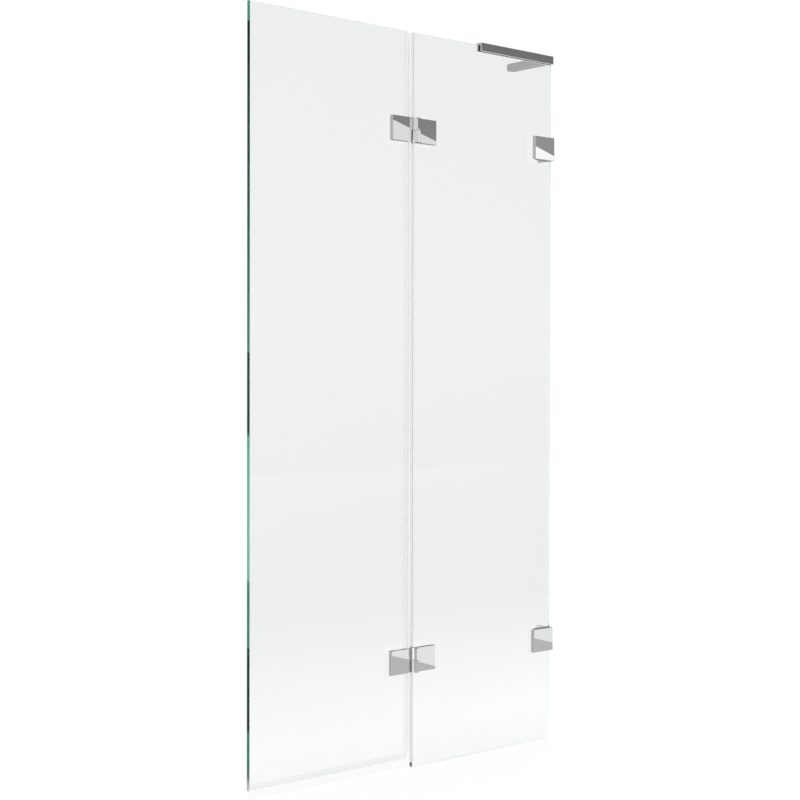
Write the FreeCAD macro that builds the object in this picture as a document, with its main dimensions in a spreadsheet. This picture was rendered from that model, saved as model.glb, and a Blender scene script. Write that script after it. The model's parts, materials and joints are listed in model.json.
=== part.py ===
import FreeCAD, Part
import os
import re
import Sketcher

doc = FreeCAD.newDocument("HingedGlassScreen")
sheet = doc.addObject("Spreadsheet::Sheet", "Sizes")

# Frame: X runs along the glass to the wall, minus Y faces the bather's entry side, Z is up.
# The origin is the middle of the fixed pane's bottom edge, half-way through the glass.

# Driving dimensions in millimetres.
sizes = [
    # Panes
    ("glass_thickness", 8.0, "both panes"),
    ("arris", 0.4, "polished bevel on every outer glass edge"),
    ("screen_height", 1500.0, "rim to the top edge of both panes"),
    ("fixed_width", 408.0, "fixed pane"),
    ("door_width", 400.0, "door pane"),
    ("door_lift", 21.0, "door pane's bottom edge above the rim"),
    ("panel_gap", 10.0, "between the two panes"),
    ("wall_gap", 2.0, "fixed pane to the wall"),
    ("upper_drop", 200.0, "middle of the upper hinge and wall clamp below the top edge"),
    ("lower_height", 221.0, "middle of the lower hinge and wall clamp"),
    # Hinge leaves
    ("gasket_thickness", 1.2, "soft pad between metal and glass"),
    ("gasket_inset", 0.6, "pad edge inside the plate edge"),
    ("plate_height", 50.0, "hinge leaves and wall clamps"),
    ("plate_thickness", 7.5, "hinge leaf plates"),
    ("edge_round", 0.5, "rounded front edges of the fittings"),
    ("pivot_inset", 1.5, "pivot axis past the fixed pane's edge"),
    ("pivot_stand", 10.0, "pivot axis in front of the glass face"),
    ("knuckle_width", 7.5, "knuckle block across the axis"),
    ("knuckle_reach", 6.5, "knuckle block in front of the axis"),
    ("knuckle_gap", 4.25, "free slot beside the other leaf's knuckle"),
    ("strap_thickness", 1.8, "strap from the door plate to its knuckle"),
    ("door_plate_setback", 7.0, "door plate behind the door pane's edge"),
    ("door_plate_width", 46.0, "door plate"),
    ("fixed_plate_reach", 56.0, "fixed plate's far end from the fixed pane's edge"),
    # Pivot
    ("pin_diameter", 4.0, "hinge pin"),
    ("pin_hold", 18.0, "pin length in the lower knuckle"),
    ("pin_end_gap", 1.0, "free space above the pin"),
    ("pin_bevel", 0.4, "pin end bevel"),
    ("bush_wall", 0.6, "plain bush in the upper knuckle"),
    ("bush_length", 18.0, "plain bush"),
    ("washer_thickness", 1.0, "thrust washer"),
    ("washer_diameter", 7.0, "thrust washer"),
    ("running_gap", 0.05, "axial play above the washer"),
    ("fit_clearance", 0.03, "radial play of fitted round pieces"),
    # Glass bolts
    ("bolt_spacing", 24.0, "upper to lower bolt of a fitting"),
    ("bolt_hole", 14.0, "glass hole of a hinge bolt"),
    ("countersink_depth", 4.0, "cone in the glass"),
    ("sleeve_wall", 1.0, "plastic sleeve"),
    ("stem_diameter", 6.0, "threaded stem"),
    ("stem_depth", 5.5, "blind thread in a plate"),
    ("stem_gap", 0.5, "free space at the end of a blind thread"),
    ("gasket_hole", 8.0, "stem hole in a pad"),
    ("socket_across", 5.0, "hexagon socket across flats"),
    ("socket_depth", 2.5, "hexagon socket"),
    # Wall clamps
    ("clamp_width", 60.0, "front clamp plate"),
    ("clamp_thickness", 7.8, "front clamp plate"),
    ("clamp_wall_gap", 0.5, "front clamp plate to the wall"),
    ("clamp_bolt_inset", 22.0, "clamp screws from the glass edge"),
    ("clamp_hole", 12.0, "glass hole of a clamp screw"),
    ("clamp_sink", 3.0, "clamp screw head depth"),
    ("clamp_play", 0.2, "clamp screw in the angle's hole"),
    ("angle_leg", 41.0, "angle's leg along the glass"),
    ("angle_leg_thickness", 7.0, "angle's leg"),
    ("flange_thickness", 8.0, "angle's wall flange"),
    ("flange_reach", 31.0, "wall flange behind the glass"),
    ("angle_round", 3.0, "inner corner of the angle"),
    ("wall_hole", 5.5, "wall screw hole"),
    ("wall_hole_sink", 2.5, "wall screw countersink depth"),
    ("wall_hole_spacing", 30.0, "wall screw holes of one clamp"),
    ("wall_hole_back", 10.0, "wall screw holes from the flange's back end"),
    # Stabiliser
    ("bar_length", 221.0, "channel along the glass"),
    ("bar_wall", 4.0, "channel walls"),
    ("bar_grip", 12.6, "channel reach below the glass top"),
    ("bar_round", 0.4, "channel and arm edges"),
    ("liner_thickness", 1.0, "liner between channel and glass"),
    ("liner_inset", 0.8, "liner edge inside the channel"),
    ("arm_width", 16.0, "wall arm along X"),
    ("arm_reach", 119.0, "wall arm behind the glass"),
    ("arm_grip", 11.7, "wall arm reach below the glass top"),
    ("arm_nose", 4.5, "rounding of the arm's far end"),
    ("arm_wall", 2.0, "wall arm shell"),
    ("arm_slip", 0.25, "play inside the arm"),
    ("tenon_length", 16.0, "channel's tenon inside the arm"),
    ("rail_thickness", 8.0, "wall rail"),
    ("rail_gap", 2.0, "rail ends inside the arm"),
    ("rail_hole_spacing", 60.0, "wall screw holes of the rail"),
    ("grub_diameter", 4.0, "grub screws"),
    ("grub_recess", 0.4, "grub screw below the surface"),
    ("grub_socket", 2.0, "grub screw socket across flats"),
    ("grub_socket_depth", 1.2, "grub screw socket"),
    ("grub_spacing", 70.0, "grub screws along the channel"),
    # Seals
    ("seal_wall", 1.2, "seal arms"),
    ("seal_slip", 0.1, "play between seal and glass"),
    ("drip_arm", 11.4, "drip seal arms up the glass"),
    ("drip_web", 2.0, "drip seal under the glass"),
    ("fin_thickness", 1.0, "soft fins"),
    ("fin_clearance", 3.0, "drip fin above the rim"),
    ("fin_lean", 4.0, "drip fin's lean to the inside"),
    ("seal_end", 1.0, "drip seal short of the pane's edges"),
    ("seal_slit", 0.3, "between neighbouring seals"),
    ("edge_arm", 11.0, "door edge seal arms"),
    ("edge_web", 1.5, "door edge seal over the glass edge"),
    ("lip_arm", 4.5, "fixed edge seal arms"),
    ("lip_web", 1.5, "fixed edge seal over the glass edge"),
    ("lip_end", 9.4, "fixed edge seal above the rim"),
    ("hinge_cutout", 1.5, "seals short of the hinges"),
    # Construction
    ("overrun", 1.0, "cuts past the surface they open, joined pads into each other"),
    ("edge_match", 0.001, "tolerance for finding edges by their place"),
]

# Ratios do not scale with the part.
shares = {
    # A hexagon's half side over its half width across flats.
    "hexagon_share": 0.57735,
}

for row, (alias, length, note) in enumerate(sizes, start=1):
    sheet.set(f"A{row}", note)
    sheet.set(f"B{row}", str(length))
    sheet.setAlias(f"B{row}", alias)
for row, (alias, ratio) in enumerate(shares.items(), start=len(sizes) + 1):
    sheet.set(f"B{row}", str(ratio))
    sheet.setAlias(f"B{row}", alias)
doc.recompute()

cells = {alias for alias, length, note in sizes} | set(shares)

# Places worked out from the driving dimensions.
places = {
    "glass_front": "-glass_thickness / 2",
    "glass_back": "glass_thickness / 2",
    "fixed_edge": "-fixed_width / 2",
    "wall_edge": "fixed_width / 2",
    "wall_plane": "wall_edge + wall_gap",
    "door_edge": "fixed_edge - panel_gap",
    "free_edge": "door_edge - door_width",
    "upper_height": "screen_height - upper_drop",
    "plate_half": "plate_height / 2",
    "bolt_half": "bolt_spacing / 2",
    # Pivot axis
    "axis_x": "fixed_edge + pivot_inset",
    "axis_y": "glass_front - pivot_stand",
    # Hinge leaves, measured from the pivot axis
    "leaf_back": "pivot_stand - gasket_thickness",
    "leaf_front": "leaf_back - plate_thickness",
    "strap_front": "leaf_back - strap_thickness",
    "knuckle_half": "knuckle_width / 2",
    "split_half": "washer_thickness / 2",
    "door_near": "-(pivot_inset + panel_gap + door_plate_setback)",
    "door_far": "door_near - door_plate_width",
    "strap_stop": "-(knuckle_half + knuckle_gap)",
    "fixed_near": "knuckle_half + knuckle_gap",
    "fixed_far": "fixed_plate_reach - pivot_inset",
    "door_bolt_x": "(door_near + door_far) / 2",
    "fixed_bolt_x": "(fixed_near + fixed_far) / 2",
    "upper_start": "split_half + running_gap",
    "bush_outer": "pin_diameter + 2 * fit_clearance + 2 * bush_wall",
    # Glass bolts
    "hole_half": "bolt_hole / 2",
    "shank_half": "bolt_hole / 2 - sleeve_wall",
    "stem_half": "stem_diameter / 2",
    "plate_face": "glass_front - gasket_thickness",
    "stem_tip": "plate_face - stem_depth + stem_gap",
    # Wall clamps, measured from the wall plane
    "clamp_bolt_x": "-(wall_gap + clamp_bolt_inset)",
    "leg_front": "glass_back + gasket_thickness",
    "leg_back": "leg_front + angle_leg_thickness",
    "flange_end": "glass_back + flange_reach",
    "wall_hole_y": "flange_end - wall_hole_back",
    # Stabiliser, measured from the wall plane and the glass top
    "slot_half": "glass_back + liner_thickness",
    "bar_half": "slot_half + bar_wall",
    "bar_top": "liner_thickness + bar_wall",
    "arm_end": "glass_back + arm_reach",
    "inner_low": "-arm_grip + arm_wall",
    "inner_top": "bar_top - arm_wall",
    "inner_depth": "arm_width - arm_wall",
    "tenon_end": "bar_half + tenon_length",
    "rail_start": "tenon_end + rail_gap",
    "rail_end": "arm_end - arm_wall - rail_gap",
    "rail_middle": "(rail_start + rail_end) / 2",
    "bar_middle": "(bar_top - bar_grip) / 2",
    # Seals
    "seal_half": "glass_back + seal_wall",
    "seal_inside": "glass_back + seal_slip",
    "drip_top": "door_lift + drip_arm",
    "drip_low": "door_lift - drip_web",
    "fin_half": "fin_thickness / 2",
    "fin_tip": "panel_gap - lip_web - seal_slit",
    "cut_half": "plate_half + hinge_cutout",
}

word = re.compile(r"[a-z_]+")


def formula(text):
    # Spell an expression of size and place names as one of sheet cells.
    def spell(found):
        name = found.group()
        if name in places:
            return "(" + formula(places[name]) + ")"
        return "Sizes." + name if name in cells else name

    return word.sub(spell, str(text))


def value(text):
    return float(sheet.evalExpression(formula(text)))


def bind(thing, prop, text):
    thing.setExpression(prop, formula(text))


subparts = []


def node(thing, label):
    thing.Label = label
    subparts.append(thing)


def put(thing, x, y, z):
    for axis, text in (("x", x), ("y", y), ("z", z)):
        bind(thing, "Placement.Base." + axis, text)


def new_body(name, x="0", y="0", z="0"):
    body = doc.addObject("PartDesign::Body", name)
    put(body, x, y, z)
    return body


def new_sketch(body, role, offset):
    # XY sketches face up, YZ sketches face the wall, XZ sketches face the front:
    # the offset runs along that normal, so an XZ sketch at depth y has the offset -y.
    sketch = body.newObject("Sketcher::SketchObject", body.Name + "_sketch")
    plane = next(item for item in body.Origin.OriginFeatures if item.Role == role)
    sketch.AttachmentSupport = [(plane, "")]
    sketch.MapMode = "FlatFace"
    bind(sketch, "AttachmentOffset.Base.z", offset)
    return sketch


def hold(sketch, geometry, point, x, y):
    # Fix a point by its two distances from the sketch's origin.
    for kind, text in (("DistanceX", x), ("DistanceY", y)):
        rule = Sketcher.Constraint(kind, -1, 1, geometry, point, value(text))
        index = sketch.addConstraint(rule)
        bind(sketch, f"Constraints[{index}]", text)


def outline(sketch, corners):
    # Closed outline through the corners.
    points = [FreeCAD.Vector(value(x), value(y), 0) for x, y in corners]
    lines = []
    for start, end in zip(points, points[1:] + points[:1]):
        lines.append(sketch.addGeometry(Part.LineSegment(start, end)))
    for line, following in zip(lines, lines[1:] + lines[:1]):
        sketch.addConstraint(Sketcher.Constraint("Coincident", line, 2, following, 1))
    for line, (x, y) in zip(lines, corners):
        hold(sketch, line, 1, x, y)


def rectangle(sketch, left, right, low, high):
    outline(sketch, [(left, low), (right, low), (right, high), (left, high)])


def circle(sketch, x, y, diameter):
    centre = FreeCAD.Vector(value(x), value(y), 0)
    ring = Part.Circle(centre, FreeCAD.Vector(0, 0, 1), value(diameter) / 2)
    index = sketch.addGeometry(ring)
    hold(sketch, index, 3, x, y)
    rule = Sketcher.Constraint("Diameter", index, value(diameter))
    bind(sketch, f"Constraints[{sketch.addConstraint(rule)}]", diameter)


def hexagon(sketch, across):
    half = f"{across} / 2"
    side = f"{across} * hexagon_share / 2"
    corner = f"{across} * hexagon_share"
    outline(sketch, [
        (half, side), ("0", corner), (f"-{half}", side),
        (f"-{half}", f"-{side}"), ("0", f"-{corner}"), (half, f"-{side}"),
    ])


def pad(body, sketch, length):
    feature = body.newObject("PartDesign::Pad", body.Name + "_pad")
    feature.Profile = sketch
    bind(feature, "Length", length)
    doc.recompute()
    return feature


def pocket(body, sketch, depth, along_normal=False):
    # A pocket runs against its sketch's normal unless it is turned round.
    feature = body.newObject("PartDesign::Pocket", body.Name + "_pocket")
    before = body.Shape.Volume
    feature.Profile = sketch
    feature.Reversed = along_normal
    bind(feature, "Length", depth)
    doc.recompute()
    if not body.Shape.Volume < before:
        raise RuntimeError(body.Name + ": a pocket removed nothing")
    return feature


def turn(body, corners):
    # Solid of revolution about Y; the corners are (radius, y).
    sketch = new_sketch(body, "XY_Plane", "0")
    outline(sketch, corners)
    feature = body.newObject("PartDesign::Revolution", body.Name + "_turn")
    feature.Profile = sketch
    feature.ReferenceAxis = (sketch, ["V_Axis"])
    doc.recompute()
    return feature


def edges_on(shape, axis, level, curve):
    # Names of the edges of one kind that lie in the plane axis = level.
    names = []
    for number, edge in enumerate(shape.Edges, start=1):
        box = edge.BoundBox
        ends = (getattr(box, axis + "Min"), getattr(box, axis + "Max"))
        flat = all(abs(end - value(level)) < value("edge_match") for end in ends)
        if flat and isinstance(edge.Curve, curve):
            names.append(f"Edge{number}")
    return names


def dress(body, kind, size, spots, curve=Part.Line, within=None):
    # Fillet or chamfer the edges in the named planes of the body's latest feature,
    # or only those of them that also lie in the plane within.
    base = body.Tip
    names = []
    for axis, level in spots:
        names += edges_on(base.Shape, axis, level, curve)
    if within:
        names = [name for name in names if name in edges_on(base.Shape, *within, curve)]
    feature = body.newObject("PartDesign::" + kind, body.Name + "_" + kind.lower())
    feature.Base = (base, names)
    bind(feature, "Radius" if kind == "Fillet" else "Size", size)
    doc.recompute()
    return feature


def group(label, members):
    bundle = doc.addObject("Part::Compound", label)
    bundle.Links = members
    node(bundle, label)


heights = ("upper", "lower")


# Panes

def pane(label, left, right, low, bolt_x):
    # The hinge bolts' cones open on the back face.
    body = new_body(label)
    sheet_outline = new_sketch(body, "XZ_Plane", "-(glass_back)")
    rectangle(sheet_outline, left, right, low, "screen_height")
    pad(body, sheet_outline, "glass_thickness")
    holes = new_sketch(body, "XZ_Plane", "-(glass_back)")
    for name in heights:
        for sign in "+-":
            circle(holes, bolt_x, f"{name}_height {sign} bolt_half", "bolt_hole")
    pocket(body, holes, "glass_thickness + overrun", along_normal=True)
    dress(body, "Chamfer", "countersink_depth", [("Y", "glass_back")], Part.Circle)
    return body


door_pane = pane("door_glass", "free_edge", "door_edge", "door_lift", "axis_x + door_bolt_x")
fixed_pane = pane("fixed_glass", "fixed_edge", "wall_edge", "0", "axis_x + fixed_bolt_x")
clamp_holes = new_sketch(fixed_pane, "XZ_Plane", "-(glass_back)")
for name in heights:
    for sign in "+-":
        circle(clamp_holes, "wall_plane + clamp_bolt_x", f"{name}_height {sign} bolt_half", "clamp_hole")
pocket(fixed_pane, clamp_holes, "glass_thickness + overrun", along_normal=True)
for body in (door_pane, fixed_pane):
    dress(body, "Chamfer", "arris", [("Y", "glass_front"), ("Y", "glass_back")])
    node(body, body.Name)


# Hinges

def blind_threads(body, x, depth_plane):
    # Two blind holes in a plate's back.
    holes = new_sketch(body, "XZ_Plane", f"-({depth_plane})")
    for sign in "+-":
        circle(holes, x, f"0 {sign} bolt_half", "stem_diameter + 2 * fit_clearance")
    pocket(body, holes, "stem_depth", along_normal=True)


def door_leaf(label, height):
    # Plate, strap over the pane's edge, and the upper half knuckle.
    body = new_body(label, "axis_x", "axis_y", height)
    plan = new_sketch(body, "XY_Plane", "-plate_half")
    outline(plan, [
        ("door_far", "leaf_back"), ("strap_stop", "leaf_back"),
        ("strap_stop", "strap_front"), ("door_near", "strap_front"),
        ("door_near", "leaf_front"), ("door_far", "leaf_front"),
    ])
    pad(body, plan, "plate_height")
    knuckle = new_sketch(body, "XY_Plane", "upper_start")
    outline(knuckle, [
        ("strap_stop - overrun", "leaf_back"), ("knuckle_half", "leaf_back"),
        ("knuckle_half", "-knuckle_reach"), ("-knuckle_half", "-knuckle_reach"),
        ("-knuckle_half", "strap_front"), ("strap_stop - overrun", "strap_front"),
    ])
    pad(body, knuckle, "plate_half - (upper_start)")
    bore = new_sketch(body, "XY_Plane", "upper_start")
    circle(bore, "0", "0", "bush_outer + 2 * fit_clearance")
    pocket(body, bore, "bush_length", along_normal=True)
    blind_threads(body, "door_bolt_x", "leaf_back")
    dress(body, "Fillet", "edge_round", [("Y", "leaf_front"), ("Y", "-knuckle_reach")])
    node(body, label)


def fixed_leaf(label, height):
    # Plate, cut back beside the upper knuckle, and the lower half knuckle.
    body = new_body(label, "axis_x", "axis_y", height)
    plan = new_sketch(body, "XY_Plane", "-plate_half")
    rectangle(plan, "fixed_near", "fixed_far", "leaf_front", "leaf_back")
    pad(body, plan, "plate_height")
    knuckle = new_sketch(body, "XY_Plane", "-plate_half")
    outline(knuckle, [
        ("-knuckle_half", "leaf_back"), ("fixed_near + overrun", "leaf_back"),
        ("fixed_near + overrun", "leaf_front"), ("knuckle_half", "leaf_front"),
        ("knuckle_half", "-knuckle_reach"), ("-knuckle_half", "-knuckle_reach"),
    ])
    pad(body, knuckle, "plate_half - split_half")
    bore = new_sketch(body, "XY_Plane", "-split_half")
    circle(bore, "0", "0", "pin_diameter + 2 * fit_clearance")
    pocket(body, bore, "pin_hold")
    blind_threads(body, "fixed_bolt_x", "leaf_back")
    dress(body, "Fillet", "edge_round", [("Y", "leaf_front"), ("Y", "-knuckle_reach")])
    node(body, label)


def ring(label, height, start, length, outer, inner):
    body = new_body(label, "axis_x", "axis_y", height)
    plan = new_sketch(body, "XY_Plane", start)
    circle(plan, "0", "0", outer)
    circle(plan, "0", "0", inner)
    pad(body, plan, length)
    node(body, label)


def hinge_pin(label, height):
    body = new_body(label, "axis_x", "axis_y", height)
    plan = new_sketch(body, "XY_Plane", "-(split_half + pin_hold)")
    circle(plan, "0", "0", "pin_diameter")
    top = "upper_start + bush_length - pin_end_gap"
    pad(body, plan, f"{top} + split_half + pin_hold")
    dress(body, "Chamfer", "pin_bevel", [("Z", "-(split_half + pin_hold)"), ("Z", top)], Part.Circle)
    node(body, label)


def gasket(label, x, height, left, right, start, hole_x, hole):
    # Flat pad; start is the depth of its back face.
    body = new_body(label, x, "0", height)
    face = new_sketch(body, "XZ_Plane", f"-({start})")
    rectangle(face, f"{left} + gasket_inset", f"{right} - gasket_inset",
              "-plate_half + gasket_inset", "plate_half - gasket_inset")
    for sign in "+-":
        circle(face, hole_x, f"0 {sign} bolt_half", hole)
    pad(body, face, "gasket_thickness")
    node(body, label)


def glass_bolt(name, x, height):
    # Cone and shank in the glass, threaded stem in the plate, socket in the flush head.
    body = new_body(name, x, "0", height)
    turn(body, [
        ("0", "glass_back"), ("shank_half + countersink_depth - fit_clearance", "glass_back"),
        ("shank_half - fit_clearance", "glass_back - countersink_depth"),
        ("shank_half - fit_clearance", "glass_front"),
        ("stem_half", "glass_front"), ("stem_half", "stem_tip"), ("0", "stem_tip"),
    ])
    socket = new_sketch(body, "XZ_Plane", "-(glass_back)")
    hexagon(socket, "socket_across")
    pocket(body, socket, "socket_depth", along_normal=True)
    return body


def bolt_sleeve(name, x, height):
    body = new_body(name, x, "0", height)
    neck = "glass_back - countersink_depth"
    turn(body, [
        ("shank_half + countersink_depth", "glass_back"),
        ("hole_half + countersink_depth - fit_clearance", "glass_back"),
        ("hole_half - fit_clearance", neck), ("hole_half - fit_clearance", "glass_front"),
        ("shank_half", "glass_front"), ("shank_half", neck),
    ])
    return body


def pair(maker, label, x, height):
    # The same piece at both bolt places of a fitting.
    spots = (("high", "+"), ("low", "-"))
    group(label, [maker(f"{label}_{end}", x, f"{height} {sign} bolt_half") for end, sign in spots])


for name in heights:
    height = name + "_height"
    door_leaf(name + "_door_leaf", height)
    fixed_leaf(name + "_fixed_leaf", height)
    hinge_pin(name + "_hinge_pin", height)
    ring(name + "_hinge_bush", height, "upper_start", "bush_length",
         "bush_outer", "pin_diameter + 2 * fit_clearance")
    ring(name + "_hinge_washer", height, "-split_half", "washer_thickness",
         "washer_diameter", "pin_diameter + 2 * fit_clearance")
    gasket(name + "_door_gasket", "axis_x", height, "door_far", "door_near",
           "glass_front", "door_bolt_x", "gasket_hole")
    gasket(name + "_fixed_gasket", "axis_x", height, "fixed_near", "fixed_far",
           "glass_front", "fixed_bolt_x", "gasket_hole")
    for side in ("door", "fixed"):
        centre = f"axis_x + {side}_bolt_x"
        pair(glass_bolt, f"{name}_{side}_bolts", centre, height)
        pair(bolt_sleeve, f"{name}_{side}_sleeves", centre, height)


# Wall clamps

def clamp_plate(label, height):
    body = new_body(label, "wall_plane", "0", height)
    face = new_sketch(body, "XZ_Plane", "-(plate_face)")
    rectangle(face, "-clamp_width", "-clamp_wall_gap", "-plate_half", "plate_half")
    pad(body, face, "clamp_thickness")
    blind_threads(body, "clamp_bolt_x", "plate_face")
    dress(body, "Fillet", "edge_round", [("Y", "plate_face - clamp_thickness")])
    node(body, label)


def wall_angle(label, height):
    # Leg behind the glass, flange on the wall with two countersunk screw holes.
    body = new_body(label, "wall_plane", "0", height)
    plan = new_sketch(body, "XY_Plane", "-plate_half")
    outline(plan, [
        ("-angle_leg", "leg_front"), ("0", "leg_front"), ("0", "flange_end"),
        ("-flange_thickness", "flange_end"), ("-flange_thickness", "leg_back"),
        ("-angle_leg", "leg_back"),
    ])
    base = pad(body, plan, "plate_height")
    inner = [
        edge for edge in edges_on(base.Shape, "X", "-flange_thickness", Part.Line)
        if edge in edges_on(base.Shape, "Y", "leg_back", Part.Line)
    ]
    corner = body.newObject("PartDesign::Fillet", body.Name + "_corner")
    corner.Base = (base, inner)
    bind(corner, "Radius", "angle_round")
    doc.recompute()
    dress(body, "Fillet", "edge_round", [("Y", "flange_end"), ("X", "-angle_leg")])
    screws = new_sketch(body, "XZ_Plane", "-(leg_back)")
    for sign in "+-":
        circle(screws, "clamp_bolt_x", f"0 {sign} bolt_half", "stem_diameter + 2 * clamp_play")
    pocket(body, screws, "angle_leg_thickness + overrun", along_normal=True)
    dress(body, "Chamfer", "clamp_sink", [("Y", "leg_back")], Part.Circle)
    holes = new_sketch(body, "YZ_Plane", "0")
    for sign in "+-":
        circle(holes, "wall_hole_y", f"0 {sign} wall_hole_spacing / 2", "wall_hole")
    pocket(body, holes, "flange_thickness + overrun")
    dress(body, "Chamfer", "wall_hole_sink", [("X", "-flange_thickness")], Part.Circle)
    node(body, label)


def clamp_screw(name, x, height):
    body = new_body(name, x, "0", height)
    turn(body, [
        ("0", "leg_back"), ("stem_half + clamp_sink", "leg_back"),
        ("stem_half", "leg_back - clamp_sink"), ("stem_half", "stem_tip"), ("0", "stem_tip"),
    ])
    socket = new_sketch(body, "XZ_Plane", "-(leg_back)")
    hexagon(socket, "socket_across")
    pocket(body, socket, "socket_depth", along_normal=True)
    return body


def clamp_sleeve(name, x, height):
    body = new_body(name, x, "0", height)
    turn(body, [
        ("stem_half + fit_clearance", "glass_back"), ("clamp_hole / 2 - fit_clearance", "glass_back"),
        ("clamp_hole / 2 - fit_clearance", "glass_front"), ("stem_half + fit_clearance", "glass_front"),
    ])
    return body


for name in heights:
    height = name + "_height"
    clamp_plate(name + "_clamp_plate", height)
    wall_angle(name + "_wall_angle", height)
    gasket(name + "_clamp_front_gasket", "wall_plane", height, "-clamp_width", "-wall_gap",
           "glass_front", "clamp_bolt_x", "gasket_hole")
    gasket(name + "_clamp_back_gasket", "wall_plane", height, "-angle_leg", "-wall_gap",
           "leg_front", "clamp_bolt_x", "gasket_hole")
    pair(clamp_screw, name + "_clamp_screws", "wall_plane + clamp_bolt_x", height)
    pair(clamp_sleeve, name + "_clamp_sleeves", "wall_plane + clamp_bolt_x", height)


# Stabiliser

def stabiliser_body(label):
    return new_body(label, "wall_plane", "0", "screen_height")


grub_places = [f"-bar_length / 2 {shift}" for shift in ("- grub_spacing", "", "+ grub_spacing")]

channel = stabiliser_body("stabiliser_channel")
section = new_sketch(channel, "YZ_Plane", "-bar_length")
outline(section, [
    ("-(bar_half)", "-bar_grip"), ("-(slot_half)", "-bar_grip"),
    ("-(slot_half)", "liner_thickness"), ("slot_half", "liner_thickness"),
    ("slot_half", "-bar_grip"), ("bar_half", "-bar_grip"),
    ("bar_half", "bar_top"), ("-(bar_half)", "bar_top"),
])
pad(channel, section, "bar_length")
dress(channel, "Fillet", "bar_round", [("Y", "-(bar_half)")])
tenon = new_sketch(channel, "XZ_Plane", "-(tenon_end)")
rectangle(tenon, "-(inner_depth) + arm_slip", "-arm_slip", "inner_low + arm_slip", "inner_top - arm_slip")
pad(channel, tenon, "tenon_length + overrun")
grub_holes = new_sketch(channel, "XZ_Plane", "-(bar_half)")
for place in grub_places:
    circle(grub_holes, place, "bar_middle", "grub_diameter + 2 * fit_clearance")
pocket(channel, grub_holes, "bar_wall", along_normal=True)
node(channel, "stabiliser_channel")

arm = stabiliser_body("stabiliser_arm")
section = new_sketch(arm, "XZ_Plane", "-(arm_end)")
rectangle(section, "-arm_width", "0", "-arm_grip", "bar_top")
pad(arm, section, "arm_end - (bar_half)")
dress(arm, "Fillet", "arm_nose", [("Z", "-arm_grip"), ("Z", "bar_top")], within=("Y", "arm_end"))
dress(arm, "Fillet", "bar_round", [("X", "-arm_width")])
hollow = new_sketch(arm, "YZ_Plane", "0")
rectangle(hollow, "bar_half - overrun", "arm_end - arm_wall", "inner_low", "inner_top")
pocket(arm, hollow, "inner_depth")
top_holes = new_sketch(arm, "XY_Plane", "bar_top")
for place in ("bar_half + tenon_length / 2", "rail_middle"):
    circle(top_holes, "-rail_thickness / 2", place, "grub_diameter + 2 * fit_clearance")
pocket(arm, top_holes, "arm_wall")
node(arm, "stabiliser_arm")

rail = stabiliser_body("stabiliser_rail")
face = new_sketch(rail, "YZ_Plane", "-rail_thickness")
rectangle(face, "rail_start", "rail_end", "inner_low + arm_slip", "inner_top - arm_slip")
pad(rail, face, "rail_thickness")
holes = new_sketch(rail, "YZ_Plane", "0")
for sign in "+-":
    circle(holes, f"rail_middle {sign} rail_hole_spacing / 2", "bar_middle", "wall_hole")
pocket(rail, holes, "rail_thickness + overrun")
dress(rail, "Chamfer", "wall_hole_sink", [("X", "-rail_thickness")], Part.Circle)
node(rail, "stabiliser_rail")

liner = stabiliser_body("stabiliser_liner")
section = new_sketch(liner, "YZ_Plane", "-bar_length + liner_inset")
low = "-bar_grip + liner_inset"
outline(section, [
    ("-(slot_half)", low), ("glass_front", low), ("glass_front", "0"), ("glass_back", "0"),
    ("glass_back", low), ("slot_half", low),
    ("slot_half", "liner_thickness"), ("-(slot_half)", "liner_thickness"),
])
pad(liner, section, "bar_length - liner_inset - wall_gap")
node(liner, "stabiliser_liner")


def grub_screw(name, x, y, z, length, turned=False):
    # Short headless screw with a socket in its outer end, along Z or turned to Y.
    body = doc.addObject("Part::Cylinder", name + "_rod")
    bind(body, "Radius", "grub_diameter / 2")
    bind(body, "Height", length)
    socket = doc.addObject("Part::Prism", name + "_socket")
    socket.Polygon = 6
    bind(socket, "Circumradius", "grub_socket * hexagon_share")
    bind(socket, "Height", "grub_socket_depth + overrun")
    put(socket, "0", "0", f"{length} - grub_socket_depth")
    screw = doc.addObject("Part::Cut", name)
    screw.Base = body
    screw.Tool = socket
    if turned:
        quarter = FreeCAD.Rotation(FreeCAD.Vector(0, 0, 1), FreeCAD.Vector(0, 1, 0))
        screw.Placement = FreeCAD.Placement(FreeCAD.Vector(0, 0, 0), quarter)
    put(screw, x, y, z)
    return screw


middle_z = "screen_height + bar_middle"
grubs = [
    grub_screw(f"channel_grub_{count}", f"wall_plane + {place}", "slot_half", middle_z,
               "bar_wall - grub_recess", turned=True)
    for count, place in enumerate(grub_places)
]
for count, place in enumerate(("bar_half + tenon_length / 2", "rail_middle")):
    grubs.append(grub_screw(
        f"arm_grub_{count}", "wall_plane - rail_thickness / 2", place,
        "screen_height + inner_top - arm_slip", "arm_wall + arm_slip - grub_recess"))
group("stabiliser_grub_screws", grubs)


# Seals

drip = new_body("door_bottom_seal")
section = new_sketch(drip, "YZ_Plane", "free_edge + seal_end")
fin_front = "-(seal_half)"
outline(section, [
    (fin_front, "drip_top"), ("-(seal_inside)", "drip_top"), ("-(seal_inside)", "door_lift - seal_slip"),
    ("seal_inside", "door_lift - seal_slip"), ("seal_inside", "drip_top"), ("seal_half", "drip_top"),
    ("seal_half", "drip_low"), (f"{fin_front} + fin_thickness", "drip_low"),
    (f"{fin_front} + fin_lean + fin_thickness", "fin_clearance"),
    (f"{fin_front} + fin_lean", "fin_clearance"), (fin_front, "drip_low"),
])
pad(drip, section, "door_width - 2 * seal_end")
node(drip, "door_bottom_seal")


def upright_seal(label, edge, corners, low, high):
    body = new_body(label, edge)
    plan = new_sketch(body, "XY_Plane", low)
    outline(plan, corners)
    pad(body, plan, f"{high} - ({low})")
    node(body, label)


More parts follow.
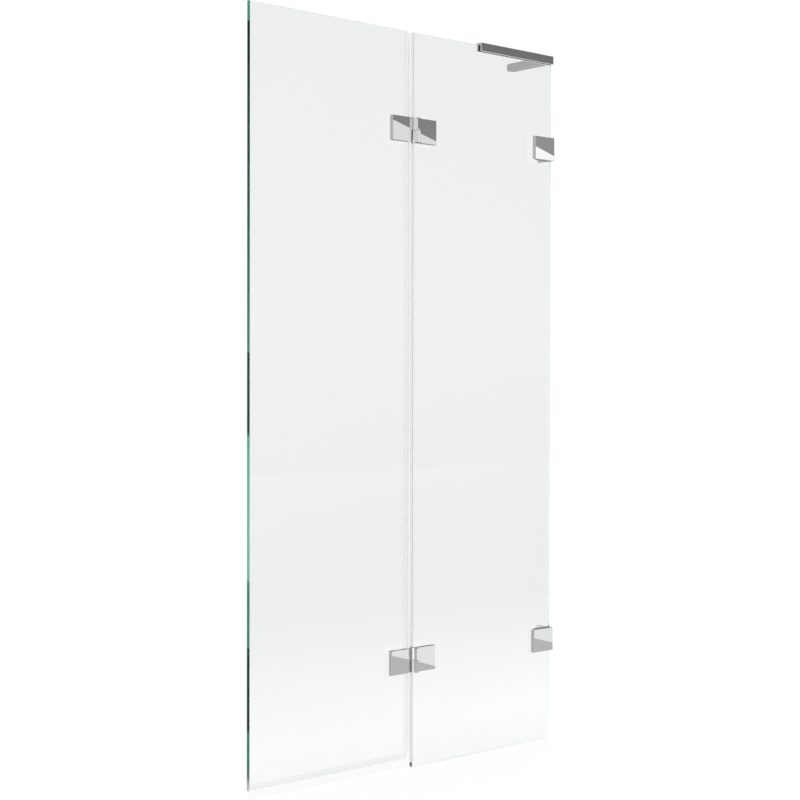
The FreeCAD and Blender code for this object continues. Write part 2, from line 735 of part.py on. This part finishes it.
door_profile = [
    ("-edge_arm", "-(seal_inside)"), ("-edge_arm", "-(seal_half)"), ("edge_web", "-(seal_half)"),
    ("edge_web", "-(fin_half)"), ("fin_tip", "-(fin_half)"), ("fin_tip", "fin_half"),
    ("edge_web", "fin_half"), ("edge_web", "seal_half"), ("-edge_arm", "seal_half"),
    ("-edge_arm", "seal_inside"), ("seal_slip", "seal_inside"), ("seal_slip", "-(seal_inside)"),
]
fixed_profile = [
    ("lip_arm", "-(seal_inside)"), ("lip_arm", "-(seal_half)"), ("-lip_web", "-(seal_half)"),
    ("-lip_web", "seal_half"), ("lip_arm", "seal_half"), ("lip_arm", "seal_inside"),
    ("-seal_slip", "seal_inside"), ("-seal_slip", "-(seal_inside)"),
]
for side, profile, bottom in (
    ("door", door_profile, "drip_top + seal_slit"), ("fixed", fixed_profile, "lip_end"),
):
    for name, low, high in (
        ("lower", bottom, "lower_height - (cut_half)"),
        ("middle", "lower_height + cut_half", "upper_height - (cut_half)"),
        ("upper", "upper_height + cut_half", "screen_height"),
    ):
        upright_seal(f"{side}_edge_seal_{name}", f"{side}_edge", profile, low, high)

doc.recompute()

# Check every object, then write one file per piece.
for thing in doc.Objects:
    if "Invalid" in thing.State or "Error" in thing.State:
        raise RuntimeError(f"{thing.Label}: {thing.State}")
os.makedirs("parts", exist_ok=True)
for thing in subparts:
    if thing.Shape.isNull() or not thing.Shape.isValid():
        raise RuntimeError(f"{thing.Label}: bad shape")
    thing.Shape.exportStep(f"parts/{thing.Label}.step")
    box = thing.Shape.BoundBox
    print(thing.Label, len(thing.Shape.Solids),
          "x", round(box.XMin, 2), round(box.XMax, 2), "y", round(box.YMin, 2), round(box.YMax, 2),
          "z", round(box.ZMin, 2), round(box.ZMax, 2))
print("pieces", len(subparts))
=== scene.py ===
import json
import math

import bpy
import numpy as np
from mathutils import Matrix, Vector


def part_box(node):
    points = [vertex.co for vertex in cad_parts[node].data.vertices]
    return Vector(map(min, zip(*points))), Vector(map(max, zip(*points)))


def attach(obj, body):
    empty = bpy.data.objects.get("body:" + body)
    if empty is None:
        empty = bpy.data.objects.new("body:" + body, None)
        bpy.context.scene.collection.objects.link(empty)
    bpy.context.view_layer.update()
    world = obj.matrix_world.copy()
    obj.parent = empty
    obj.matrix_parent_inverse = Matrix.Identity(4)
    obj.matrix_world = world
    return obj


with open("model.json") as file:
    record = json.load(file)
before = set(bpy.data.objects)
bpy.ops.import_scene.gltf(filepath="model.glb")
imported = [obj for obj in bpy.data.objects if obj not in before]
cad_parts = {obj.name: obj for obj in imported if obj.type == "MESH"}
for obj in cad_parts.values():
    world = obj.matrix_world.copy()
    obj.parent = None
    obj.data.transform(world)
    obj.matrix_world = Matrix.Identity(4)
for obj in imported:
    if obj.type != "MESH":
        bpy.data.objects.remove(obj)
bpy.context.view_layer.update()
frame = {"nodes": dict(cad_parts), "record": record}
nodes = frame["nodes"]
scene = bpy.context.scene
scene.view_settings.view_transform = "Standard"
print("stage: frame loaded,", len(nodes), "nodes")

# Camera: where it stands, its turn in degrees from looking along +Y, lens and sensor in mm, and the frame in pixels
camera = {
    "place": (-2.3601, -2.4052, 0.7977), "yaw": 41.46, "pitch": 0.816, "roll": 0.117,
    "lens": 71.2, "sensor": 36, "frame": 800, "farClip": 50,
}


def cameraAxes():
    # right, up and forward of a camera turned by yaw, tipped down by pitch, then rolled
    yaw, pitch, roll = (math.radians(camera[key]) for key in ("yaw", "pitch", "roll"))
    level = Vector((math.sin(yaw), math.cos(yaw), 0))
    side = Vector((math.cos(yaw), -math.sin(yaw), 0))
    forward = level * math.cos(pitch) - Vector((0, 0, math.sin(pitch)))
    rise = Vector((0, 0, math.cos(pitch))) + level * math.sin(pitch)
    right = side * math.cos(roll) + rise * math.sin(roll)
    up = rise * math.cos(roll) - side * math.sin(roll)
    return right, up, forward


def addCamera():
    right, up, forward = cameraAxes()
    data = bpy.data.cameras.new("camera")
    data.lens = camera["lens"]
    data.sensor_width = camera["sensor"]
    data.clip_end = camera["farClip"]
    view = bpy.data.objects.new("camera", data)
    scene.collection.objects.link(view)
    turn = Matrix((right, up, -forward)).transposed().to_4x4()
    view.matrix_world = Matrix.Translation(camera["place"]) @ turn
    scene.camera = view


addCamera()
print("stage: camera placed")


# Materials

def newMaterial(name):
    material = bpy.data.materials.new(name)
    material.use_nodes = True
    tree = material.node_tree
    return material, tree, tree.nodes["Principled BSDF"]


def setSockets(node, **values):
    # sockets by name, with _ for a space
    for name, value in values.items():
        node.inputs[name.replace("_", " ")].default_value = value


def place(tree, kind, **settings):
    node = tree.nodes.new(kind)
    for name, value in settings.items():
        setattr(node, name, value)
    return node


def newGroup(name, inputs, output):
    # an empty shader node group: an input for each default, a vector where the default is one, and one number out
    group = bpy.data.node_groups.new(name, "ShaderNodeTree")
    for label, default in inputs.items():
        kind = "NodeSocketVector" if isinstance(default, tuple) else "NodeSocketFloat"
        group.interface.new_socket(label, in_out="INPUT", socket_type=kind).default_value = default
    group.interface.new_socket(output, in_out="OUTPUT", socket_type="NodeSocketFloat")
    return group, place(group, "NodeGroupInput").outputs, place(group, "NodeGroupOutput").inputs[output]


def mottleGroup():
    # noise over the piece, most of which lies between 0.3 and 0.7, stretched to Low to High
    group, given, result = newGroup("mottle", {"Scale": 100.0, "Low": 0.0, "High": 1.0}, "Value")
    noise = place(group, "ShaderNodeTexNoise")
    span = place(group, "ShaderNodeMapRange")
    setSockets(span, From_Min=0.3, From_Max=0.7)
    group.links.new(place(group, "ShaderNodeTexCoord").outputs["Object"], noise.inputs["Vector"])
    group.links.new(given["Scale"], noise.inputs["Scale"])
    group.links.new(noise.outputs["Fac"], span.inputs["Value"])
    group.links.new(given["Low"], span.inputs["To Min"])
    group.links.new(given["High"], span.inputs["To Max"])
    group.links.new(span.outputs["Result"], result)
    return group


def alongGroup():
    # how far a point lies along Direction, as a share of the way between From and To
    group, given, result = newGroup("along", {"Direction": (0.0, 0.0, 1.0), "From": 0.0, "To": 1.0}, "Share")
    dot = place(group, "ShaderNodeVectorMath", operation="DOT_PRODUCT")
    span = place(group, "ShaderNodeMapRange")
    group.links.new(place(group, "ShaderNodeTexCoord").outputs["Object"], dot.inputs[0])
    group.links.new(given["Direction"], dot.inputs[1])
    group.links.new(dot.outputs["Value"], span.inputs["Value"])
    group.links.new(given["From"], span.inputs["From Min"])
    group.links.new(given["To"], span.inputs["From Max"])
    group.links.new(span.outputs["Result"], result)
    return group


groups = {"mottle": mottleGroup(), "along": alongGroup()}


def effect(tree, name, **values):
    node = place(tree, "ShaderNodeGroup", node_tree=groups[name])
    setSockets(node, **values)
    return node.outputs[0]


def mottle(tree, shader, scale, low, high):
    tree.links.new(effect(tree, "mottle", Scale=scale, Low=low, High=high), shader.inputs["Roughness"])


def toneAlong(tree, direction, stops):
    # runs through the (distance, tone or colour) stops along a direction
    low, high = stops[0][0], stops[-1][0]
    node = place(tree, "ShaderNodeValToRGB")
    tree.links.new(effect(tree, "along", Direction=direction, From=low, To=high), node.inputs["Fac"])
    ramp = node.color_ramp
    for number, (at, tone) in enumerate(stops):
        stop = ramp.elements[number] if number < 2 else ramp.elements.new(1.0)  # a new ramp has two stops
        stop.position = (at - low) / (high - low)
        stop.color = (*tone, 1) if isinstance(tone, tuple) else (tone, tone, tone, 1)
    return node.outputs["Color"]


upward, inward, wallward = (0.0, 0.0, 1.0), (0.0, 1.0, 0.0), (1.0, 0.0, 0.0)

# Finishes by slot: name, sockets, and the roughness as mottle scale, low and high
finishes = {
    "glass": ("paneGlass", {"Base_Color": (0.916, 0.931, 0.924, 1), "IOR": 1.5, "Transmission_Weight": 1.0},
              (9, 0.0, 0.008)),
    "chrome": ("polishedChrome", {"Base_Color": (0.78, 0.785, 0.79, 1), "Metallic": 1.0}, (60, 0.006, 0.018)),
    "steel": ("turnedSteel", {"Base_Color": (0.56, 0.56, 0.57, 1), "Metallic": 1.0}, (400, 0.18, 0.34)),
    "clear_pvc": ("clearSeal", {"Base_Color": (0.80, 0.81, 0.81, 1), "IOR": 1.4, "Alpha": 0.045}, (120, 0.08, 0.22)),
    "gasket": ("softGasket", {"Base_Color": (0.40, 0.41, 0.41, 1), "IOR": 1.45}, (150, 0.35, 0.6)),
    "nylon": ("naturalNylon", {"Base_Color": (0.83, 0.83, 0.80, 1), "IOR": 1.5}, (200, 0.3, 0.5)),
}
linerFinish = ("darkLiner", {"Base_Color": (0.03, 0.04, 0.038, 1), "IOR": 1.45}, (150, 0.45, 0.65))


def plainFinish(name, sockets, grain):
    material, tree, shader = newMaterial(name)
    setSockets(shader, **sockets)
    mottle(tree, shader, *grain)
    return material


def dress(node, material):
    slots = nodes[node].data.materials
    slots.clear()
    slots.append(material)


materials = {slot: plainFinish(*finish) for slot, finish in finishes.items()}
for part in frame["record"]["subparts"]:
    dress(part["node"], materials[part["material_slot"]])
dress("stabiliser_liner", plainFinish(*linerFinish))
print("stage: materials set")


def meshObject(name, points, faces):
    mesh = bpy.data.meshes.new(name)
    mesh.from_pydata(np.asarray(points, float).tolist(), [], faces)
    mesh.update()
    item = bpy.data.objects.new(name, mesh)
    scene.collection.objects.link(item)
    return item


def sweepObject(name, grid, ring):
    # a closed profile carried along a path: grid[i, j] is profile point j at path corner i, with a quad between
    # neighbours, and the path closes on itself or ends in two flat caps
    number = np.arange(grid.shape[0] * grid.shape[1]).reshape(grid.shape[:2])
    after, beside = np.roll(number, -1, axis=0), np.roll(number, -1, axis=1)
    quads = np.stack([number, after, np.roll(after, -1, axis=1), beside], axis=-1)
    if ring:
        return meshObject(name, grid.reshape(-1, 3), quads.reshape(-1, 4).tolist())
    caps = [number[0].tolist(), number[-1][::-1].tolist()]
    return meshObject(name, grid.reshape(-1, 3), quads[:-1].reshape(-1, 4).tolist() + caps)


def barObject(name, low, high):
    # an upright bar: the rectangle from low to high in x and y, carried from low to high in z
    x, y, z = np.array([low, high]).T
    plan = np.stack([x[[0, 0, 1, 1]], y[[0, 1, 1, 0]]], axis=-1)
    heights = np.broadcast_to(z[:, None, None], (2, 4, 1))
    return sweepObject(name, np.concatenate([np.broadcast_to(plan, (2, 4, 2)), heights], axis=-1), False)


# Polished edges of the panes: a thin ring in each, green or banded where it faces out, the bands holding painted
# reflections and painted shade, and pale where it faces the glass, glowing a little as painted light.
# Lengths in metres: the reach is how far the front arris runs in, and the skin keeps the ring just inside the glass.
paneEdges = {
    "arris": 0.0004, "skin": 0.00003, "halfDepth": 0.00397, "doorReach": 0.0007, "fixedReach": 0.00043,
    "tint": (0.31, 1.0, 0.83), "paintedGlow": 0.48, "wallPaintedGlow": 0.60,
    "sockets": {"IOR": 1.45, "Specular_IOR_Level": 0.0}, "outerGrain": (300, 0.3, 0.5), "innerGrain": (300, 0.4, 0.6),
}
# colours for the edge bands: bright, dark and the arm's grey are painted reflections, and pale is the colour of the
# glowing inner edges
pale, milky, dark, brightReflection = (0.93, 0.955, 0.945), (0.82, 0.83, 0.825), (0.02, 0.02, 0.02), (0.45, 1.0, 0.87)
white, armReflectionGrey, jointGrey = (1.0, 1.0, 1.0), (0.25, 0.25, 0.25), (0.42, 0.44, 0.43)


def edgeStops(bands):
    # the tint at each band's tone, or the band's own colour
    tint = paneEdges["tint"]
    return [(at, tone if isinstance(tone, tuple) else tuple(tone * part for part in tint)) for at, tone in bands]


def bandedEdge(name, bands):
    # bands up an upright edge: tone of green, or colour, by height in metres; where the bands change they are painted
    # reflections and painted shade
    material, tree, shader = newMaterial(name)
    tree.links.new(toneAlong(tree, upward, edgeStops(bands)), shader.inputs["Base Color"])
    setSockets(shader, **paneEdges["sockets"])
    mottle(tree, shader, *paneEdges["outerGrain"])
    return material


def glowingPaleEdge(name, direction, bands, paintedGlow):
    # the inward side of an edge, pale and glowing a little so that it reads as clear glass: painted light
    material, tree, shader = newMaterial(name)
    colour = toneAlong(tree, direction, bands)
    tree.links.new(colour, shader.inputs["Base Color"])
    tree.links.new(colour, shader.inputs["Emission Color"])
    setSockets(shader, Emission_Strength=paintedGlow, **paneEdges["sockets"])
    mottle(tree, shader, *paneEdges["innerGrain"])
    return material


def edgeProfile(reach):
    # (inset, y) round the ring's section: front arris, edge, back arris, back skin, inward side, front skin
    half, skin = paneEdges["halfDepth"], paneEdges["skin"]
    shoulder, deep = half - paneEdges["arris"], paneEdges["arris"] + skin
    return np.array([
        (reach, -half), (skin, -shoulder), (skin, shoulder), (deep, half),
        (deep + 2 * skin, half), (reach + 2 * skin, -half),
    ])


def addEdge(name, pane, body, reach, sides):
    # the section carried round the pane: x and z are the corner's, moved in by the inset; sides gives the finish of
    # front arris, edge, back arris and inward side at the left, top, right and bottom
    low, high = (np.array(corner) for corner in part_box(pane))
    inset, y = edgeProfile(reach).T
    left, right, bottom, top = low[0] + inset, high[0] - inset, low[2] + inset, high[2] - inset
    x, z = np.stack([left, left, right, right]), np.stack([bottom, top, top, bottom])
    ring = sweepObject(name, np.stack([x, np.broadcast_to(y, x.shape), z], axis=-1), True)
    faces = [finish for front, edge, back, inner in sides for finish in (front, edge, back, inner, inner, inner)]
    used = list(dict.fromkeys(faces))
    for finish in used:
        ring.data.materials.append(finish)
    ring.data.polygons.foreach_set("material_index", [used.index(finish) for finish in faces])
    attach(ring, body)


# the door's free edge, white at the foot where the drip seal covers it; the light and dark green bands above are
# painted reflections of the room
doorReflectionBands = [
    (0.021, white), (0.034, (0.95, 0.98, 0.97)), (0.046, (0.34, 0.45, 0.42)), (0.06, 0.49), (0.13, 0.49),
    (0.135, 0.13), (0.288, 0.16), (0.293, 0.55), (0.412, 0.55), (0.417, brightReflection), (0.56, brightReflection), (0.688, 0.86),
    (0.692, 0.19), (0.842, 0.20), (0.846, 0.61), (0.95, 0.45), (1.135, 0.263), (1.462, 0.067),
    (1.464, 0.60), (1.5, 0.60),
]
# the fixed pane's edge by the door: green at the foot, painted shade behind the hinges, else as milky as the seal over
# it
fixedBands = [
    (0.0, milky), (0.0015, milky), (0.002, 0.22), (0.02, 0.22), (0.03, milky),
    (0.1895, milky), (0.19, 0.05), (0.236, 0.05), (0.2365, milky),
    (1.279, milky), (1.2795, 0.05), (1.33, 0.05), (1.3305, milky), (1.5, milky),
]
# the edge by the wall, with painted reflections of the dark ends of the wall angles and of the arm
wallReflectionBands = [
    (0.0, pale), (0.224, pale), (0.225, dark), (0.249, dark), (0.2495, pale),
    (1.2715, pale), (1.272, dark), (1.32, dark), (1.321, pale), (1.484, pale), (1.485, armReflectionGrey), (1.5, armReflectionGrey),
]
# the top edge, with a painted reflection: dark where it mirrors the channel's mouth
topReflectionBands = [(-0.204, pale), (-0.0205, pale), (-0.0203, dark), (0.204, dark)]

# edge finishes: green is the glass's own edge colour, the pale ones glow a little as painted light, and the bands carry
# painted reflections and painted shade
green = plainFinish("greenEdge", {"Base_Color": (0.11, 0.36, 0.30, 1), **paneEdges["sockets"]}, paneEdges["outerGrain"])
clear = glowingPaleEdge("glowingPaleEdge", upward, [(0.0, pale), (1.5, pale)], paneEdges["paintedGlow"])
wallEdge = glowingPaleEdge("wallEdge", upward, wallReflectionBands, paneEdges["wallPaintedGlow"])
topEdge = glowingPaleEdge("topEdge", wallward, topReflectionBands, paneEdges["paintedGlow"])
doorSide = bandedEdge("doorSideEdge", doorReflectionBands)
fixedSide = bandedEdge("fixedSideEdge", fixedBands)
jointLine = bandedEdge("jointLine", [(0.0, jointGrey), (1.5, jointGrey)])
level = (clear, green, clear, clear)
addEdge("doorEdge", "door_glass", "door", paneEdges["doorReach"], [
    (doorSide, doorSide, doorSide, clear), level, (clear, clear, clear, clear), level])
addEdge("fixedEdge", "fixed_glass", "fixed", paneEdges["fixedReach"], [
    (jointLine, fixedSide, clear, clear), (clear, green, clear, topEdge), (clear, green, clear, wallEdge), level])

# Webs of the fixed pane's edge seals: the milky strips that cover the edge, near and far from it in metres. They glow a
# little: painted light in the shaded gap by the door.
sealWeb = {
    "near": 0.00013, "far": 0.0003, "halfDepth": 0.0038, "grain": (120, 0.3, 0.5),
    "sockets": {"Base_Color": (*milky, 1), "IOR": 1.45, "Specular_IOR_Level": 0.1,
                "Emission_Color": (*milky, 1), "Emission_Strength": 0.12},
}


def addSealWebs():
    material = plainFinish("milkySealGlow", sealWeb["sockets"], sealWeb["grain"])
    edge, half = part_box("fixed_glass")[0][0], sealWeb["halfDepth"]
    left, right = edge - sealWeb["far"], edge - sealWeb["near"]
    for part in ("lower", "middle", "upper"):
        low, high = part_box("fixed_edge_seal_" + part)
        web = barObject(part + "SealWeb", (left, -half, low[2]), (right, half, high[2]))
        web.data.materials.append(material)
        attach(web, "fixed")


addSealWebs()

# Pale glowing patches on the end of each door strap, below the knuckle, a painted highlight: root and face in x, near
# and far in y
strapGlowPatch = {"root": -0.2109, "face": -0.21047, "near": -0.00695, "far": -0.00525, "rise": 0.0003}


def addStrapGlowPatches():
    for hinge in ("upper", "lower"):
        low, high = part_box(hinge + "_door_leaf")
        foot = (strapGlowPatch["root"], strapGlowPatch["near"], low[2] + strapGlowPatch["rise"])
        head = (strapGlowPatch["face"], strapGlowPatch["far"], (low[2] + high[2]) / 2)
        glowPatch = barObject(hinge + "StrapGlowPatch", foot, head)
        glowPatch.data.materials.append(clear)
        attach(glowPatch, "door")


addStrapGlowPatches()
print("stage: pane edges, seal webs and strap pads")


# Stage: white floor and world, grey cards that only reflections see

def reflected(tree, times=1):
    # 1 on a path reflected at least so many times, also when it then passes through glass, otherwise 0
    path = place(tree, "ShaderNodeLightPath")
    enough = place(tree, "ShaderNodeMath", operation="GREATER_THAN")
    enough.inputs[1].default_value = times - 0.5
    tree.links.new(path.outputs["Glossy Depth"], enough.inputs[0])
    return enough.outputs[0]


def mixShaders(tree, factor, first, second):
    mix = place(tree, "ShaderNodeMixShader")
    if isinstance(factor, float):
        mix.inputs["Fac"].default_value = factor
    else:
        tree.links.new(factor, mix.inputs["Fac"])
    tree.links.new(first, mix.inputs[1])
    tree.links.new(second, mix.inputs[2])
    return mix.outputs[0]


def emptyMaterial(name):
    material = bpy.data.materials.new(name)
    material.use_nodes = True
    material.node_tree.nodes.clear()
    material.cycles.emission_sampling = "NONE"
    return material, material.node_tree


def glow(tree, tone):
    light = place(tree, "ShaderNodeEmission")
    light.inputs["Strength"].default_value = tone
    return light


def matt(tree, tone):
    surface = place(tree, "ShaderNodeBsdfDiffuse")
    surface.inputs["Color"].default_value = (tone, tone, tone, 1)
    return surface.outputs[0]


def addCard(name, corners, tone, times=1):
    # a card that only reflections see, after so many mirrors, of one tone or of (height, tone) stops
    card = meshObject(name, corners, [list(range(len(corners)))])
    material, tree = emptyMaterial(name)
    unseen = place(tree, "ShaderNodeBsdfTransparent").outputs[0]
    light = glow(tree, tone if isinstance(tone, float) else 1.0)
    if not isinstance(tone, float):
        tree.links.new(toneAlong(tree, upward, tone), light.inputs["Color"])
    final = mixShaders(tree, reflected(tree, times), unseen, light.outputs[0])
    tree.links.new(final, place(tree, "ShaderNodeOutputMaterial").inputs["Surface"])
    card.data.materials.append(material)
    card.visible_camera = False
    card.visible_diffuse = False
    card.visible_volume_scatter = False
    card.visible_shadow = False


def mirrorPoint(pixel, mirrors, cardY):
    # where the reflection seen at a pixel comes from, on the plane y = cardY: the ray from the eye turns back at each
    # (axis, place) mirror
    right, up, forward = cameraAxes()
    middle = camera["frame"] / 2
    focal = camera["lens"] / camera["sensor"] * camera["frame"]
    ray = forward * focal + right * (pixel[0] - middle) + up * (middle - pixel[1])
    spot = Vector(camera["place"])
    for axis, at in mirrors:
        spot = spot + ray * ((at - spot[axis]) / ray[axis])
        ray[axis] = -ray[axis]
    return spot + ray * ((cardY - spot.y) / ray.y)


def addMirrorCard(name, pixels, mirrors, cardY, tone):
    # a card met after two mirrors or more stays out of the glass, which would show it after one
    addCard(name, [mirrorPoint(pixel, mirrors, cardY) for pixel in pixels], tone, min(len(mirrors), 2))


def windowCorners(left, top, right, bottom):
    return [(left, top), (right, top), (right, bottom), (left, bottom)]


def addWorld():
    world = bpy.data.worlds.new("studio")
    scene.world = world
    world.use_nodes = True
    setSockets(world.node_tree.nodes["Background"], Color=(1, 1, 1, 1), Strength=1.0)


# Floor: half its width and its level, the tone that lights the piece, the white that the eye sees with its share of
# shadow, and what reflections see as strength and (y, tone) stops
floorLook = {
    "half": 8.0, "level": -0.001, "bounce": 0.8, "white": 1.02, "shadowShare": 0.12, "mirrored": 1.5,
    "tones": [(-2.6, 0.07), (-1.6, 0.07), (-1.24, 0.20), (-1.0, 0.40), (-0.62, 0.70), (-0.3, 0.98), (0.3, 0.67)],
}


def addFloor():
    # the eye sees white with a trace of the shadow, reflections a floor that darkens towards the front
    half, height = floorLook["half"], floorLook["level"]
    corners = [(-half, -half, height), (half, -half, height), (half, half, height), (-half, half, height)]
    floor = meshObject("floor", corners, [[0, 1, 2, 3]])
    material, tree = emptyMaterial("floorWhite")
    mirrored = glow(tree, floorLook["mirrored"])
    tree.links.new(toneAlong(tree, inward, floorLook["tones"]), mirrored.inputs["Color"])
    path = place(tree, "ShaderNodeLightPath")
    seen = place(tree, "ShaderNodeMath", operation="MAXIMUM")
    tree.links.new(path.outputs["Is Camera Ray"], seen.inputs[0])
    tree.links.new(path.outputs["Is Transmission Ray"], seen.inputs[1])
    shown = mixShaders(tree, floorLook["shadowShare"], glow(tree, floorLook["white"]).outputs[0], matt(tree, 1.0))
    direct = mixShaders(tree, seen.outputs[0], matt(tree, floorLook["bounce"]), shown)
    final = mixShaders(tree, reflected(tree), direct, mirrored.outputs[0])
    tree.links.new(final, place(tree, "ShaderNodeOutputMaterial").inputs["Surface"])
    floor.data.materials.append(material)


addWorld()
addFloor()

# Upright cards: from and to in plan, heights, and the tone or (height, tone) stops
wallTones = [
    (0.0, 0.02), (0.24, 0.01), (0.37, 0.08), (0.48, 0.20), (1.02, 0.46), (1.57, 0.31), (1.91, 0.20), (3.2, 0.20)]
roomTones = [(0.0, 1.0), (0.45, 0.80), (1.2, 0.45), (2.0, 0.34), (3.0, 0.50)]
uprightCards = {
    # the grey wall in front gives the glass and the upper metal their tone
    "frontCard": ((-1.2, -1.6), (3.0, -1.6), (0.0, 3.2), wallTones),
    "leftCard": ((-4.0, 1.2), (-0.6, 3.6), (0.0, 4.0), 0.55),
    # what the tops and undersides of the fittings mirror, behind the glass
    "hingeBackCard": ((2.8, 4.0), (3.85, 4.0), (0.43, 2.2), 0.12),
    "clampBackCard": ((3.85, 4.0), (5.4, 4.0), (0.43, 2.2), 0.50),
    "armCard": ((0.19, 0.13), (0.33, 0.13), (1.4535, 1.487), 0.50),
    # soft grey walls for the back and the ends
    "backWall": ((-1.7, 3.0), (1.7, 3.0), (0.0, 3.0), roomTones),
    "wallEndCard": ((2.6, -1.2), (2.6, 1.7), (0.0, 3.0), roomTones),
    "freeEndCard": ((-3.0, -1.2), (-3.0, 0.8), (0.0, 3.0), roomTones),
}
for name, (start, end, (low, high), tone) in uprightCards.items():
    addCard(name, [(*start, low), (*end, low), (*end, high), (*start, high)], tone)

# Level cards: left, front, right and back in plan, height, tone, and after how many mirrors they show
levelCards = {
    "sideCard": ((-2.2, -1.6, -0.6, -0.5), 0.001, 0.85, 2),
    "ceiling": ((-1.6, -1.5, 1.6, 1.5), 3.6, 0.55, 1),
}
for name, (plan, height, tone, times) in levelCards.items():
    addCard(name, [(*corner, height) for corner in windowCorners(*plan)], tone, times)

# What each polished plate mirrors: its face, the window in pixels, the card's y and the tone
facesX, facesY = 0, 1
plateFaces = {"leaf": -0.0127, "knuckle": -0.0205, "clamp": -0.013}
plateCards = {
    "upperDoorLight": ("leaf", [(392.9, 119.4), (410.0, 128.0), (410.0, 143.0), (392.9, 141.0)], -0.07, 0.90),
    "upperPinLight": ("knuckle", [(416.6, 127.4), (420.7, 129.4), (420.7, 145.0), (416.6, 144.0)], -0.065, 0.90),
    "upperPinDark": ("knuckle", [(417.9, 115.5), (419.9, 115.5), (419.9, 128.9), (417.9, 127.9)], -0.06, 0.27),
    "upperFixedLight": ("leaf", [(420.7, 133.6), (437.2, 141.9), (437.2, 147.0), (420.7, 144.0)], -0.07, 0.90),
    "upperClampLight": ("clamp", [(535.4, 145.9), (555.4, 156.9), (555.4, 163.0), (535.4, 160.0)], -0.07, 1.19),
    "upperClampGrey": ("clamp", [(533.0, 132.0), (557.0, 130.0), (557.0, 165.0), (533.0, 163.0)], -0.075, 0.35),
    "lowerDoorLight": ("leaf", [(391.6, 649.0), (409.4, 646.0), (409.4, 659.7), (391.6, 655.7)], -0.07, 0.97),
    "lowerDoorGrey": ("leaf", [(391.6, 655.7), (409.4, 659.7), (409.4, 677.0), (391.6, 678.0)], -0.07, 0.585),
    "lowerPinLight": ("knuckle", [(415.6, 645.0), (419.6, 644.0), (419.6, 661.6), (415.6, 660.7)], -0.06, 0.97),
    "lowerPinGrey": ("knuckle", [(415.6, 660.7), (419.6, 661.6), (419.6, 677.0), (415.6, 677.0)], -0.06, 0.585),
    "lowerFixedLight": ("leaf", [(416.0, 645.0), (435.2, 641.0), (435.2, 666.1), (416.0, 661.1)], -0.07, 0.97),
    "lowerFixedGrey": ("leaf", [(416.0, 661.1), (435.2, 666.1), (435.2, 672.0), (416.0, 676.0)], -0.07, 0.585),
    "lowerClampLight": ("clamp", [(533.8, 629.0), (553.4, 625.0), (553.4, 642.7), (533.8, 638.1)], -0.07, 0.97),
    "lowerClampGrey": ("clamp", [(533.8, 638.1), (553.4, 642.7), (553.4, 652.0), (533.8, 655.0)], -0.07, 0.585),
}
for name, (face, pixels, cardY, tone) in plateCards.items():
    addMirrorCard(name, pixels, [(facesY, plateFaces[face])], cardY, tone)

# What the slot beside each knuckle mirrors, over the strap, the knuckle's side and the leaf's end: the order of the
# mirrors, the window as left, top, right and bottom in pixels, and the tone
strap, knuckleSide, leafEnd = (facesY, -0.007), (facesX, -0.20625), (facesX, -0.221)
slotMirrors = {
    "strap": [strap, knuckleSide], "side": [knuckleSide, strap], "front": [knuckleSide, strap, leafEnd]}
slotCardY = -0.45
slotCards = {
    "upperStrapPale": ("strap", (410.05, 115.5, 412.5, 131.0), 0.86),
    "upperStrapDark": ("strap", (412.5, 115.5, 413.49, 131.0), 0.36),
    "upperSideLight": ("side", (413.49, 115.5, 417.3, 131.0), 1.05),
    "upperSideFront": ("front", (417.2, 115.5, 418.0, 131.0), 1.58),
    "upperSlotDark": ("strap", (411.2, 131.0, 412.15, 143.5), 0.40),
    "upperKnuckleFront": ("front", (417.0, 131.0, 418.0, 144.0), 1.46),
    "lowerStrapPale": ("strap", (408.4, 646.0, 409.0, 661.0), 1.20),
    "lowerStrapGrey": ("strap", (409.0, 646.0, 412.35, 661.0), 0.45),
    "lowerSideWhite": ("side", (412.35, 646.0, 414.2, 661.5), 1.57),
    "lowerSideGrey": ("side", (414.2, 646.0, 416.2, 661.5), 0.66),
    "lowerSlotPale": ("strap", (408.4, 661.0, 409.0, 675.0), 0.75),
    "lowerSlotGrey": ("strap", (409.0, 661.0, 410.5, 675.0), 0.46),
    "lowerSlotDark": ("strap", (410.5, 661.0, 411.2, 675.0), 0.10),
    "lowerKnuckleGrey": ("side", (413.9, 661.5, 416.2, 675.0), 0.74),
}
for name, (kind, window, tone) in slotCards.items():
    addMirrorCard(name, windowCorners(*window), slotMirrors[kind], slotCardY, tone)

# What the faces towards the door's free edge mirror: node, window in pixels, the card's y and the tone
sideCards = {
    "doorSideCard": ("door_glass", (245, -6, 252, 798), 0.012, 0.0),
    "lowerLeafSideCard": ("lower_door_leaf", (386, 638, 395.5, 690), 0.012, 0.52),
    "lowerKnuckleSideCard": ("lower_fixed_leaf", (412, 638, 419, 684), 0.012, 0.52),
    "lowerClampSideCard": ("lower_clamp_plate", (528, 614, 537.5, 666), 0.012, 0.52),
    "lowerAngleSideCard": ("lower_wall_angle", (531, 612, 546, 666), 0.04, 0.46),
}
for name, (node, window, cardY, tone) in sideCards.items():
    addMirrorCard(name, windowCorners(*window), [(facesX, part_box(node)[0][0])], cardY, tone)
print("stage: floor, world and cards")
